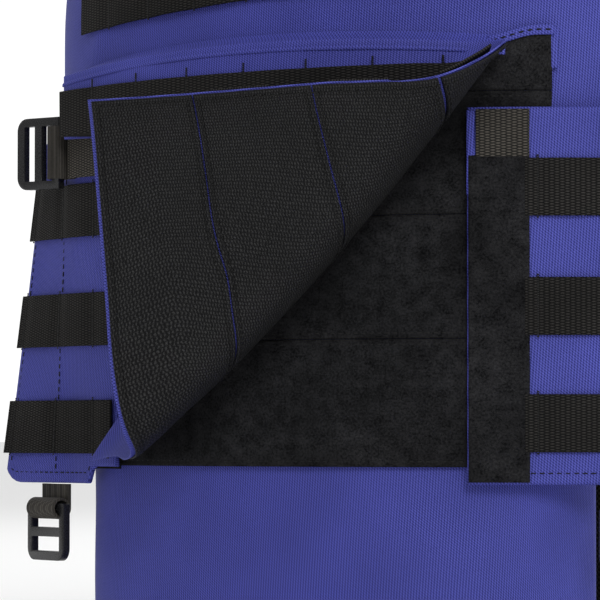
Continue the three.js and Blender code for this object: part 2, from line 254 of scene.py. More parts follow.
def wing(side):
    """A wing's surface: round the front as far as the hinge, then straight on, twisted so that
    the left wing's top leans in and its bottom stands out. u is the arc length from the middle,
    negative on the left, and q its size."""
    sign = -1 if side == "left" else 1
    lean_in, stand_out = (0.16, 0.16) if side == "left" else (0.04, 0.0)
    raised = 0 if side == "left" else 3.5
    taper = 9 if side == "left" else 0

    def place(u, z, n):
        """The point at arc length u, height z and offset n."""
        u, z, n = np.broadcast_arrays(np.asarray(u, float), np.asarray(z, float), np.asarray(n, float))
        q = sign * u
        front = wrap(np.minimum(q, WING_HINGE), CHEST_Z, WING_N + n)
        rise = (z - WING_BOTTOM) / (WING_TOP - WING_BOTTOM)
        w = np.maximum(0, q - WING_HINGE) * (1 - taper / WING_LENGTH * np.clip(rise, 0, 1))
        z = z + raised * np.clip(rise, 0, 1) + raised / 4
        bend = (stand_out * (1 - rise) - lean_in * rise) * smooth(w / 22)
        turn = WING_HINGE / FRONT_RADIUS - bend
        x = front[..., 0] + w * np.cos(turn)
        y = front[..., 1] + w * np.sin(turn)
        return np.stack([sign * x, y, z], -1)
    return place


def shoulder(x, angle, n):
    """A quarter of an ellipse from the panel's top edge to the top of the shoulder."""
    x, angle, n = np.broadcast_arrays(x, angle, n)
    rise = -TOP_Z - 1
    y = -(SHOULDER_DEPTH - SHOULDER_THICK / 2 + n) * np.cos(angle)
    return np.stack([x, y, TOP_Z + 1 + (rise + n) * np.sin(angle)], -1)


def behind(place):
    """The same surface on the vest's back: turned half round the upright axis."""
    return lambda u, v, n: place(u, v, n) * np.array([-1, -1, 1])


def half_width(z):
    """Half the panel's width: whole up to the armholes, then narrowing by a smoothstep."""
    slope = smooth((z - ARMHOLE_Z) / (TOP_Z - ARMHOLE_Z))
    return HALF_WIDTH - (HALF_WIDTH - TOP_HALF_WIDTH) * slope


def ripple(u, v, size, seed):
    """Soft creases: a sum of six sine waves in seeded directions, about -1 to 1."""
    rng = np.random.default_rng(seed)
    total = 0
    turns, lengths, phases = rng.uniform(0, np.pi, 6), rng.uniform(0.6, 1.8, 6), rng.uniform(0, 6.28, 6)
    for turn, length, phase in zip(turns, lengths, phases):
        total = total + np.sin((u * np.cos(turn) + v * np.sin(turn)) * 6.28 / (size * length) + phase)
    return total / 4


# ------------------------------------------------------------------ meshes

def lines(a, b, step, rim):
    """Grid lines from a to b, a step apart, with four closer lines along each edge."""
    near = np.array([0, 0.12, 0.4, 0.75]) * rim
    count = max(1, round((b - a - 2 * rim) / step))
    return np.concatenate([a + near, np.linspace(a + rim, b - rim, count + 1), b - near[::-1]])


def mesh(name, verts, faces, look, uv=None):
    """A piece from its points in millimetres, its four-sided faces and its flat layout."""
    data = bpy.data.meshes.new(name)
    data.from_pydata((np.asarray(verts) * MM).tolist(), [], np.asarray(faces).tolist())
    if uv is not None:
        corner = np.empty(len(data.loops), np.int32)
        data.loops.foreach_get("vertex_index", corner)
        layer = data.uv_layers.new(name="UVMap")
        layer.data.foreach_set("uv", (np.asarray(uv)[corner] * MM).astype(np.float32).ravel())
    data.materials.append(look)
    data.shade_smooth()
    piece = bpy.data.objects.new(name, data)
    bpy.context.scene.collection.objects.link(piece)
    return piece


def shell(name, outer, inner, uv, look):
    """A closed skin between two grids of the same size, walled along its four edges."""
    nu, nv = outer.shape[:2]
    index = np.arange(nu * nv).reshape(nu, nv)
    quads = np.stack([index[:-1, :-1], index[1:, :-1], index[1:, 1:], index[:-1, 1:]], -1).reshape(-1, 4)
    ring = np.concatenate([index[:-1, 0], index[-1, :-1], index[:0:-1, -1], index[0, :0:-1]])
    after = np.roll(ring, -1)
    under = nu * nv
    walls = np.stack([after, ring, ring + under, after + under], -1)
    faces = np.concatenate([quads, quads[:, ::-1] + under, walls])
    verts = np.concatenate([outer.reshape(-1, 3), inner.reshape(-1, 3)])
    flat = uv.reshape(-1, 2)
    return mesh(name, verts, faces, look, np.concatenate([flat, flat]))


def sheet(name, place, us, vs, n, thick, look, step=4, rim=1.2, grain=0, shift=None, extra=()):
    """A flat piece of cloth or tape on a surface, rounded along its rim by a quarter circle.
    grain is the height of its soft creases, shift(u, v) moves the whole piece out, and extra
    gives grid rows that must be there."""
    rows = lines(*vs, step, rim)
    if extra:
        rows = rows[np.min(np.abs(rows[:, None] - np.array(extra)), 1) > 0.9]
        rows = np.sort(np.concatenate([rows, extra]))
    u, v = np.meshgrid(lines(*us, step, rim), rows, indexing="ij")
    edge = np.minimum(np.minimum(u - us[0], us[1] - u), np.minimum(v - vs[0], vs[1] - v))
    curve = 0.25 + 0.75 * np.sqrt(1 - (1 - np.clip(edge / rim, 0, 1)) ** 2)
    middle = n + thick / 2 + (shift(u, v) if shift else 0)
    if grain:
        middle = middle + grain * ripple(u, v, 34, len(name)) * smooth(edge / 8)
    outer = place(u, v, middle + thick / 2 * curve)
    inner = place(u, v, middle - thick / 2 * curve)
    return shell(name, outer, inner, np.stack([u, v], -1), look)


def thread(name, place, runs, n, look, long=2.3, gap=1.3, wide=0.6, high=0.4):
    """Rows of stitches: each is a small box of eight points, narrower on top, laid along its run
    on a surface."""
    verts, faces = [], []
    box = np.array([(x, y, z) for z in (0, 1) for y, x in ((-.5, -.5), (-.5, .5), (.5, .5), (.5, -.5))])
    box[4:, :2] *= 0.7
    quads = np.array([(3, 2, 1, 0), (4, 5, 6, 7), (0, 1, 5, 4), (1, 2, 6, 5), (2, 3, 7, 6), (3, 0, 4, 7)])
    for u0, v0, u1, v1 in runs:
        length = math.hypot(u1 - u0, v1 - v0)
        count = max(1, int(length / (long + gap)))
        t = (np.arange(count) + 0.5) / count
        u, v = u0 + (u1 - u0) * t, v0 + (v1 - v0) * t
        du, dv = (u1 - u0) / length * 0.5, (v1 - v0) / length * 0.5
        centre = place(u, v, n)
        along = unit(place(u + du, v + dv, n) - place(u - du, v - dv, n))
        up = unit(place(u, v, n + 1.0) - centre)
        side = np.cross(up, along)
        points = (centre[:, None] + along[:, None] * box[None, :, :1] * long
                  + side[:, None] * box[None, :, 1:2] * wide + up[:, None] * box[None, :, 2:] * high)
        start = sum(len(block) for block in verts)
        verts.append(points.reshape(-1, 3))
        faces.append((quads[None] + start + 8 * np.arange(count)[:, None, None]).reshape(-1, 4))
    return mesh(name, np.concatenate(verts), np.concatenate(faces), look)


def tube(name, path, wide, high, look, sides=10):
    """A closed loop of cord: an oval section carried round the path, kept square to it."""
    along = unit(np.roll(path, -1, 0) - np.roll(path, 1, 0))
    out = unit(path * np.array([1, 1, 0]))
    out = unit(out - (out * along).sum(-1, keepdims=True) * along)
    side = np.cross(along, out)
    turn = np.arange(sides) / sides * 2 * np.pi
    points = (path[:, None] + out[:, None] * (np.cos(turn) * high)[None, :, None]
              + side[:, None] * (np.sin(turn) * wide)[None, :, None])
    rows = np.arange(len(path))[:, None]
    cols = np.arange(sides)[None]
    nxt, turn_next = (rows + 1) % len(path), (cols + 1) % sides
    faces = np.stack([rows * sides + cols, rows * sides + turn_next,
                      nxt * sides + turn_next, nxt * sides + cols], -1).reshape(-1, 4)
    piece = mesh(name, points.reshape(-1, 3), faces, look,
                 np.stack([np.broadcast_to(rows * 3.0, points.shape[:2]),
                           np.broadcast_to(cols * 1.0, points.shape[:2])], -1).reshape(-1, 2))
    work = bmesh.new()
    work.from_mesh(piece.data)
    bmesh.ops.recalc_face_normals(work, faces=work.faces)
    work.to_mesh(piece.data)
    work.free()
    return piece


# ------------------------------------------------------------------ finishes

def add(tree, kind, inputs=None, **settings):
    """A new node, with its settings set and its inputs linked or given a value."""
    node = tree.nodes.new(kind)
    for key, value in settings.items():
        setattr(node, key, value)
    for key, value in (inputs or {}).items():
        if isinstance(value, bpy.types.NodeSocket):
            tree.links.new(value, node.inputs[key])
        else:
            node.inputs[key].default_value = value
    return node


def maths(tree, what, a, b=0.0):
    """One sum or product of two numbers or sockets."""
    return add(tree, "ShaderNodeMath", {0: a, 1: b}, operation=what).outputs[0]


def wave(tree, x, pitch):
    """A sine of the coordinate x, with its pitch in metres, from -1 to 1."""
    return maths(tree, "SINE", maths(tree, "MULTIPLY", x, 2 * math.pi / pitch))


def noise(tree, where, scale, detail=2.0, rough=0.5):
    """Soft noise from 0 to 1, with scale patches to the metre."""
    inputs = {"Vector": where, "Scale": scale, "Detail": detail, "Roughness": rough}
    return add(tree, "ShaderNodeTexNoise", inputs).outputs["Fac"]


def plain_weave(tree, x, y, where):
    """Coarse plain weave: two fine sines multiplied on slanted axes, with uneven threads."""
    one = maths(tree, "ADD", x, maths(tree, "MULTIPLY", y, 0.55))
    two = maths(tree, "SUBTRACT", y, maths(tree, "MULTIPLY", x, 0.2))
    check = maths(tree, "MULTIPLY", wave(tree, one, 1.45 * MM), wave(tree, two, 2.3 * MM))
    return maths(tree, "ADD", maths(tree, "MULTIPLY", check, 1.1),
                 maths(tree, "MULTIPLY", noise(tree, where, 800), 0.6))


def ribs(tree, x, y, where):
    """Webbing: columns across the strap, each a stack of dashes set off from its neighbours."""
    column = wave(tree, x, 4.6 * MM)
    dash = maths(tree, "SINE", maths(tree, "ADD", maths(tree, "MULTIPLY", y, 2 * math.pi / (1.2 * MM)),
                                     maths(tree, "MULTIPLY", maths(tree, "SIGN", column), 1.57)))
    stack = maths(tree, "MULTIPLY", maths(tree, "ABSOLUTE", column),
                  maths(tree, "ADD", maths(tree, "MULTIPLY", dash, 0.7), 0.5))
    return maths(tree, "ADD", stack, maths(tree, "MULTIPLY", noise(tree, where, 900), 0.5))


def hooks(tree, x, y, where):
    """Hooks in rows 1.9 mm apart across the tape, leaning to one side in a row and to the other in
    the next."""
    lean = wave(tree, x, 3.8 * MM)
    row = maths(tree, "ABSOLUTE", lean)
    step = maths(tree, "MULTIPLY", y, 2 * math.pi / (1.2 * MM))
    drift = maths(tree, "MULTIPLY", noise(tree, where, 1100), 6)
    slanted = maths(tree, "ADD", step, maths(tree, "MULTIPLY", lean, 1.1))
    dots = maths(tree, "SINE", maths(tree, "ADD", slanted, drift))
    peaks = maths(tree, "MULTIPLY", row, maths(tree, "ADD", maths(tree, "MULTIPLY", dots, 0.7), 0.35))
    return maths(tree, "ADD", peaks, maths(tree, "MULTIPLY", noise(tree, where, 1700), 2.0))


def pile(tree, x, y, where):
    """Brushed loops: two sizes of noise."""
    return maths(tree, "ADD", maths(tree, "MULTIPLY", noise(tree, where, 900, 4, 0.75), 1.6),
                 maths(tree, "MULTIPLY", noise(tree, where, 160), 0.7))


def mesh_holes(tree, x, y, where):
    """Knitted mesh: round holes on a diagonal grid."""
    return maths(tree, "ADD", wave(tree, maths(tree, "ADD", x, y), 2.6 * MM),
                 wave(tree, maths(tree, "SUBTRACT", x, y), 2.6 * MM))


def grains(tree, x, y, where):
    """Moulded or foamed stuff: fine noise only."""
    return maths(tree, "MULTIPLY", noise(tree, where, 1500, 3), 2.0)


def finish(name, pattern, dark, light, rough, low=-0.6, high=1.0, bump=0.35, depth=0.25,
           sheen=0.0, mottle=0.25, source="UV", specular=0.4):
    """A cloth or plastic: the pattern's height mixes two colours and bumps the surface, and a
    broad noise mottles it."""
    made = bpy.data.materials.new(name)
    made.use_nodes = True
    tree = made.node_tree
    shader = tree.nodes["Principled BSDF"]
    where = add(tree, "ShaderNodeTexCoord").outputs[source]
    parts = add(tree, "ShaderNodeSeparateXYZ", {0: where})
    height = pattern(tree, parts.outputs[0], parts.outputs[1], where)
    share = add(tree, "ShaderNodeMapRange", {0: height, 1: low, 2: high, 3: 0.0, 4: 1.0}).outputs[0]
    tint = add(tree, "ShaderNodeMix", data_type="RGBA")
    tree.links.new(share, tint.inputs[0])
    tint.inputs[6].default_value = (*dark, 1)
    tint.inputs[7].default_value = (*light, 1)
    broad = add(tree, "ShaderNodeMapRange", {0: noise(tree, where, 28, 3), 1: 0.3, 2: 0.7,
                                             3: 1 - mottle, 4: 1 + mottle}).outputs[0]
    shade = add(tree, "ShaderNodeVectorMath", {0: tint.outputs[2], "Scale": broad}, operation="SCALE")
    tree.links.new(shade.outputs[0], shader.inputs["Base Color"])
    relief = add(tree, "ShaderNodeBump", {"Height": height, "Strength": bump, "Distance": depth * MM})
    tree.links.new(relief.outputs[0], shader.inputs["Normal"])
    uneven = add(tree, "ShaderNodeMapRange", {0: share, 1: 0.0, 2: 1.0, 3: rough + 0.08, 4: rough - 0.06})
    tree.links.new(uneven.outputs[0], shader.inputs["Roughness"])
    shader.inputs["Specular IOR Level"].default_value = specular
    shader.inputs["Sheen Weight"].default_value = sheen
    shader.inputs["Sheen Roughness"].default_value = 0.4
    return made


NYLON = finish("blue_nylon_cloth", plain_weave, (0.018, 0.021, 0.135), (0.088, 0.097, 0.440), 0.6,
               low=-0.6, high=1.2, mottle=0.07, specular=0.14)
WEB = finish("black_ribbed_webbing", ribs, (0.002, 0.002, 0.002), (0.030, 0.028, 0.026), 0.7,
             low=0.2, high=1.35, mottle=0.25, bump=0.6, specular=0.12)
WEB_RAW = finish("worn_ribbed_webbing", ribs, (0.004, 0.004, 0.004), (0.085, 0.077, 0.066), 0.7,
                 low=0.1, high=1.2, mottle=0.2, bump=0.6, specular=0.12)
HOOK = finish("hook_tape_rows", hooks, (0.003, 0.003, 0.0035), (0.038, 0.038, 0.038), 0.55,
              low=0.95, high=2.3, mottle=0.12, bump=0.6, specular=0.12)
LOOP = finish("loop_tape_pile", pile, (0.003, 0.003, 0.0035), (0.030, 0.030, 0.032), 0.95,
              low=0.85, high=1.6, mottle=0.35, bump=0.9, depth=0.5, specular=0.05)
THREAD = finish("black_thread", grains, (0.003, 0.003, 0.0035), (0.012, 0.012, 0.012), 0.6,
                source="Object", specular=0.15)
MESH = finish("knitted_mesh_lining", mesh_holes, (0.003, 0.003, 0.004), (0.02, 0.02, 0.022), 0.8,
              mottle=0.1, bump=0.8, depth=0.5, specular=0.1)
FOAM = finish("closed_cell_foam", grains, (0.50, 0.50, 0.44), (0.66, 0.66, 0.60), 0.9, source="Object")
PLASTIC = finish("moulded_black_plastic", grains, (0.008, 0.008, 0.009), (0.013, 0.013, 0.014), 0.33,
                 bump=0.12, depth=0.08, source="Object", mottle=0.1, specular=0.35)
TAB_WEB = finish("tab_webbing", ribs, (0.004, 0.004, 0.004), (0.066, 0.060, 0.052), 0.7,
                 source="Object", bump=0.6, specular=0.12)


def dress(piece, body, slot, *nodes):
    """Parents a finished piece to the empty of the body it rides on, or only bakes its transform when body
    is a tuple, and hides the CAD nodes it stands for. slot is not used.
    """
    if isinstance(body, tuple):
        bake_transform(piece)
    else:
        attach(piece, body)
    if nodes:
        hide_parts(*nodes)
    return piece


# ------------------------------------------------------------------ panels

def cover(side, place):
    """A padded tray: the outline swept from the inner face round a rounded edge to the front. The
    cloth's weave is laid out along the rounded edge too, so it isn't stretched there."""
    zs = lines(BOTTOM_Z, TOP_Z, 6, COVER_ROUND)
    share = lines(-HALF_WIDTH, HALF_WIDTH, 6, COVER_ROUND) / HALF_WIDTH
    u, z = np.meshgrid(share, zs, indexing="ij")
    s = u * half_width(z)
    to_side, to_end = (1 - np.abs(u)) * half_width(z), np.minimum(z - BOTTOM_Z, TOP_Z - z)
    edge = np.minimum(to_side, to_end)
    curve = np.sqrt(1 - (1 - np.clip(edge / COVER_ROUND, 0, 1)) ** 2)
    middle = -COVER_DEPTH / 2 - 0.5
    crease = 0.45 * ripple(s, z, 90, 5) * smooth(edge / 25) - 0.5
    if side == "front":
        # A small slanted tuck beside the left end of the flap's hinge seam.
        crease = crease + 1.5 * np.exp(-((s + 112 - 0.6 * (z + 212)) / 5) ** 2 - ((z + 216) / 8) ** 2)
    outer = place(s, z, middle + (COVER_DEPTH / 2 + 0.5) * (0.12 + 0.88 * curve) + crease)
    inner = place(s, z, middle - (COVER_DEPTH / 2 - 0.8) * (0.12 + 0.88 * curve))
    side_on = to_side < to_end
    round_edge = (1 - curve) * COVER_DEPTH / 2
    flat_s = s + np.where(side_on, np.sign(u) * round_edge, 0)
    flat_z = z + np.where(side_on, 0, np.sign(z - (TOP_Z + BOTTOM_Z) / 2) * round_edge)
    piece = shell(f"{side}_cover_cloth", outer, inner, np.stack([flat_s, flat_z], -1), NYLON)
    dress(piece, side, "blue_nylon", f"{side}_cover")

    lining = place(s, z, -COVER_DEPTH - 1.0 - 0.6 * (1 - curve) + 0.3 * ripple(s, z, 60, 9))
    backing = place(s, z, -COVER_DEPTH - LINING - 0.8 + 1.2 * (1 - curve) + 0.3 * ripple(s, z, 60, 9))
    piece = shell(f"{side}_lining_mesh", lining, backing, np.stack([s, z], -1), MESH)
    dress(piece, side, "lining_mesh", f"{side}_lining")

    # Binding tape sewn round the edge where cover and lining meet.
    z_side = np.linspace(BOTTOM_Z + 4, TOP_Z - 4, 90)
    across = np.linspace(-1, 1, 70)[1:-1]
    ring_s = np.concatenate([half_width(z_side), (across * half_width(TOP_Z))[::-1],
                             -half_width(z_side)[::-1], across * half_width(BOTTOM_Z)])
    ring_z = np.concatenate([z_side, np.full(len(across), TOP_Z - 1.2),
                             z_side[::-1], np.full(len(across), BOTTOM_Z + 1.2)])
    path = place(ring_s * 0.994, ring_z, -COVER_DEPTH + 1.0)
    dress(tube(f"{side}_edge_binding", path, 4.2, 1.6, WEB), side, "black_webbing")


def bowed(tacks, height):
    """How far webbing stands out between its tacks: height by a smoothstep of the distance to
    the nearest tack."""
    tacks = np.array(tacks, float)
    return lambda u, v: height * smooth(np.min(np.abs(u[..., None] - tacks), -1) / TACK_REACH)


def webbing_row(name, place, us, top, n, body, node, tacks, over=4):
    """A row of webbing, held by bar tacks between which it bows out a little."""
    row = sheet(name, place, us, (top - WEBBING, top), n, 1.5, WEB, step=2.5, shift=bowed(tacks, 0.9))
    dress(row, body, "black_webbing", *node)
    runs = [(t, top - WEBBING - 1, t, top + over) for t in tacks]
    marks = thread(f"{name}_tacks", place, runs, n + 1.4, THREAD, long=0.75, gap=0.15, wide=1.1, high=0.3)
    dress(marks, body, "black_webbing")


cover("front", wrap)
cover("back", behind(wrap))


def chest_place(u, v, n):
    """The lower chest row hangs lower at its left end."""
    return wrap(u, v - 6 + 0.067 * np.minimum(np.asarray(u, float) + 128, 125), n)


for k, (half, count) in enumerate(((128, 4), (112, 3))):
    top = CHEST_ROW + k * ROW_PITCH
    marks = [COLUMN * (j + 0.5) for j in range(-count, count)]
    webbing_row(f"chest_webbing_row_{k + 1}", chest_place if k == 0 else wrap, (-half, half), top, 0.6,
                "front", [f"chest_webbing_{k + 1}"], marks)
for k in range(5):
    marks = [COLUMN * (j + 0.5) for j in range(-3, 3)]
    webbing_row(f"back_webbing_row_{k + 1}", behind(wrap), (-96, 96), CHEST_ROW - k * ROW_PITCH, 0.6,
                "back", [f"back_webbing_{k + 1}"], marks)


def handle(u, v, n):
    """The grab handle's arch: a raised cosine between its two sewn ends."""
    arch = 26 * smooth(1.4 * np.cos(np.clip(u / 58, -1, 1) * np.pi / 2) - 0.2)
    return behind(wrap)(u, v, n + arch)


dress(sheet("grab_handle_strap", handle, (-58, 58), (-154, -129), 0.8, 2.4, WEB, step=2),
      "back", "black_webbing", "grab_handle")
ends = [(side * e, -152, side * e, -131) for side in (-1, 1) for e in (46, 50, 55)]
dress(thread("grab_handle_tacks", behind(wrap), ends, 3.0, THREAD, long=0.8, gap=0.2, wide=2.2),
      "back", "black_webbing")


def loop_place(u, v, n):
    """The loop panel, whose top edge rises at its right end and drops at its left."""
    u = np.asarray(u, float)
    near = smooth((np.asarray(v, float) + 250) / 20)
    return wrap(u, v + near * (5 * smooth((u - 98) / 24) - 7 * smooth((-60 - u) / 50)), n)


# Loop tapes: four bands of pile that cover the front from the flap's hinge to its bottom.
LOOP_EDGES = (-228, -250, -304.5, -359.5, -416.5)
for k in range(4):
    high, low = LOOP_EDGES[k] - 0.05, LOOP_EDGES[k + 1] + 0.05
    tape = sheet(f"loop_pile_{k + 1}", loop_place, (-124, 128), (low, high), 0.4, 2.2, LOOP,
                 step=5, grain=0.25)
    dress(tape, "front", "loop_tape", f"loop_tape_{k + 1}")
seams = [(-122, z + d, 126, z + d) for z in LOOP_EDGES[1:4] for d in (-2.5, 2.5)]
seams += [(-122, -414, 126, -414), (-122, -230, 126, -230), (126, -412, 126, -232)]
dress(thread("loop_seams", wrap, seams, 2.4, THREAD, high=0.25), "front", "loop_tape")
for piece in (sheet("loop_panel_hem", loop_place, (126.5, 130.5), (-242, -227), 0.6, 1.8, NYLON, step=2),
              sheet("loop_top_hem", loop_place, (100, 129), (-230.5, -226), 2.7, 1.4, NYLON, step=2),
              thread("loop_top_stitch", loop_place, [(101, -228.2, 128, -228.2)], 4.0, THREAD, wide=0.8)):
    dress(piece, "front", "blue_nylon")

# ------------------------------------------------------------------ flap

FOLD_FOOT = flap(FOLD_MIDDLE, FOLD_MIDDLE + FOLD_OFFSET, 0) * MM
FOLD_HEAD = flap(FOLD_MIDDLE + FOLD_LENGTH / ROOT2,
                 FOLD_MIDDLE + FOLD_OFFSET - FOLD_LENGTH / ROOT2, 0) * MM
FOLD = ("flap", "flap_corner", tuple(FOLD_FOOT), tuple(FOLD_HEAD))


def flap_piece(piece, slot, *nodes):
    """A piece laid over the flap's fold, with its transform baked into its mesh."""
    return dress(piece, FOLD, slot, *nodes)


def tilted(place):
    """The first row sits a little low, and lower at its left end."""
    return lambda u, v, n: place(u, v - 2.6 + 0.012 * u, n)


# Grid rows that keep the cut's upper corner sharp.
NOTCH = (FLAP_CUT_TOP - 1.0, FLAP_CUT_TOP - 0.2, FLAP_CUT_TOP + 0.6)
cloth = sheet("flap_cloth", cut_flap, (-FLAP_HALF, FLAP_HALF), (FLAP_BOTTOM, FLAP_TOP), 0.6, 1.4, NYLON,
              step=2.5, rim=3, grain=0.3, extra=NOTCH)
flap_piece(cloth, "blue_nylon", "flap_cover", "corner_cover")
for k in range(4):
    low, high = HOOK_EDGES[k] + 0.3, HOOK_EDGES[k + 1] - 0.3
    tape = sheet(f"flap_hook_tape_{k + 1}", cut_flap, (-FLAP_HALF + 2, FLAP_HALF - 0.2), (low, high),
                 -0.8, 1.3, HOOK, step=2.5, grain=0.15, extra=NOTCH if k == 3 else ())
    nodes = [f"flap_hook_{k + 1}"] + ([f"corner_hook_{k + 1}"] if k < 3 else [])
    flap_piece(tape, "hook_tape", *nodes)
inset = FLAP_HALF - 4
runs = [(-inset, z + d, inset, z + d) for z in HOOK_EDGES[1:4] for d in (-2.6, 2.6)]
runs += [(-inset, -410.5, inset, -410.5), (-inset, -230, inset, -230),
         (-inset, -411, -inset, -229), (inset, -411, inset, -229)]
flap_piece(thread("flap_hook_seams", cut_flap, runs, -1.2, THREAD, high=0.35), "hook_tape")
marks = [COLUMN * j - 6.5 for j in range(-3, 5)]
for k, top in enumerate(FLAP_ROWS):
    row_place = tilted(cut_flap) if k == 0 else cut_flap
    row = sheet(f"flap_webbing_row_{k + 1}", row_place, (-FLAP_HALF + 1, FLAP_HALF - 1),
                (top - WEBBING, top), 2.6, 1.5, WEB, step=2.5, shift=bowed(marks, 0.8))
    nodes = [f"flap_webbing_{k + 1}"] + ([f"corner_webbing_{k + 1}"] if k else [])
    flap_piece(row, "black_webbing", *nodes)
    tacks = [(m, top - WEBBING - 1, m, top + 4.5) for m in marks]
    flap_piece(thread(f"flap_row_tacks_{k + 1}", row_place, tacks, 3.9, THREAD, long=0.75, gap=0.15,
                      wide=1.1, high=0.3), "black_webbing")


def seam(u, v, n):
    """The flap's hinge seam: the cloth rises from the panel to the flap in a soft step."""
    out = smooth((FLAP_TOP + 5 - v) / 9)
    return wrap(u, v - sag(u), n + 0.4 + (FLAP_N + FLAP_CLOTH - 1.4) * out)


strip = sheet("flap_hinge_seam", seam, (-FLAP_HALF, FLAP_HALF - 14), (FLAP_TOP - 5, FLAP_TOP + 5), 0, 1.2,
              NYLON, step=1.2, grain=0.3)
dress(strip, ("front", "flap", (0, 0, (FLAP_TOP + 6) * MM), (0, 0, (FLAP_TOP - 5) * MM)), "blue_nylon")

# ------------------------------------------------------------------ wings

def wing_pieces(side):
    """A wing's cloth, hems, rows and strips, on the surface that wing gives."""
    left = side == "left"
    sign = -1 if left else 1
    place = wing(side)
    hinge = wrap(WING_HINGE, CHEST_Z, WING_N)
    turn = WING_HINGE / FRONT_RADIUS
    end = WING_HINGE + WING_LENGTH

    def across(q0, q1):
        """The span from q0 to q1 on this side, in rising order."""
        return (-q1, -q0) if left else (q0, q1)

    def beside_hinge(w):
        """The point that lies w past the hinge, in metres."""
        x, y = hinge[0] + w * math.cos(turn), hinge[1] + w * math.sin(turn)
        return sign * x * MM, y * MM, FLEX_Z * MM

    def rounded(u, v, n):
        """The bottom corners are rounded, and the bottom edge steps up under the flap."""
        q = np.abs(u)
        step = 8 * smooth((WING_HINGE - 7 - q) / 3) if left else 0
        corner = 9 * (1 - np.sqrt(np.clip(1 - ((q - end + 12) / 12).clip(0, 1) ** 2, 0, 1)))
        share = np.clip((WING_BOTTOM + 40 - v) / 40, 0, 1)
        return place(u, v + share * (step + corner), n)

    flex = ("front", f"{side}_wing", beside_hinge(FLEX_START), beside_hinge(FLEX_END))
    cloth = sheet(f"{side}_wing_cloth", rounded, across(WING_END, end), (WING_BOTTOM, WING_TOP), 0, 3,
                  NYLON, step=3, rim=2.2, grain=0.5)
    dress(cloth, flex, "blue_nylon", f"{side}_wing_front", f"{side}_wing_panel")
    near, far = across(WING_END + 4, end - 4)
    hems = [(near, WING_BOTTOM + 5, far, WING_BOTTOM + 5),
            (sign * (end - 4), WING_BOTTOM + 8, sign * (end - 4), WING_TOP - 4)]
    dress(thread(f"{side}_wing_hem", rounded, hems, 3.0, THREAD, wide=0.5), flex, "blue_nylon")
    column = WING_HINGE + (19 if left else COLUMN)
    run = [(sign * column, WING_BOTTOM + 6, sign * column, WING_TOP - 4)]
    dress(thread(f"{side}_wing_column_stitch", place, run, 3.0, THREAD, wide=0.6), flex, "blue_nylon")
    marks = [sign * m for m in (WING_HINGE - 13 if left else WING_HINGE + 1.5, column, end - 4)]
    row_span = across(WING_END + 1 if left else WING_HINGE - 4, end + 1)
    for k, top in enumerate(WING_ROWS):
        webbing_row(f"{side}_wing_row_{k + 1}", place, row_span, top, 3.1, flex,
                    [f"{side}_wing_webbing_{k + 1}"], marks, over=1.5)
    if not left:
        edge = sheet("right_wing_pile", rounded, (WING_END + 0.8, WING_HINGE - 2), (WING_BOTTOM + 1, -283),
                     3.2, 1.5, LOOP, step=3, rim=1.5, grain=0.2)
        dress(edge, "front", "loop_tape", "right_wing_strip")
        patch = sheet("right_wing_patch", place, (WING_END + 4, WING_HINGE - 2), (-284, -263), 3.2, 1.5,
                      WEB_RAW, step=3)
        dress(patch, "front", "black_webbing")
        hem = sheet("right_wing_front_hem", place, (WING_END, WING_END + 3.5), (-300, -263.5), 3.0, 1.2,
                    NYLON, step=2)
        dress(hem, "front", "blue_nylon")
    else:
        patch = sheet("left_wing_patch", place, (-WING_HINGE - 8, -WING_END - 1),
                      (TAB_Z - WEBBING / 2, TAB_Z + WEBBING / 2), 5.6, 1.5, WEB_RAW, step=2.5)
        dress(patch, flex, "black_webbing")
        edge = sheet("left_wing_pile", place, (-WING_HINGE, -WING_END - 1), (WING_BOTTOM + 7, -283),
                     -1.4, 1.2, LOOP, step=3)
        dress(edge, "front", "loop_tape", "left_wing_strip")


wing_pieces("left")
wing_pieces("right")

# ------------------------------------------------------------------ shoulders

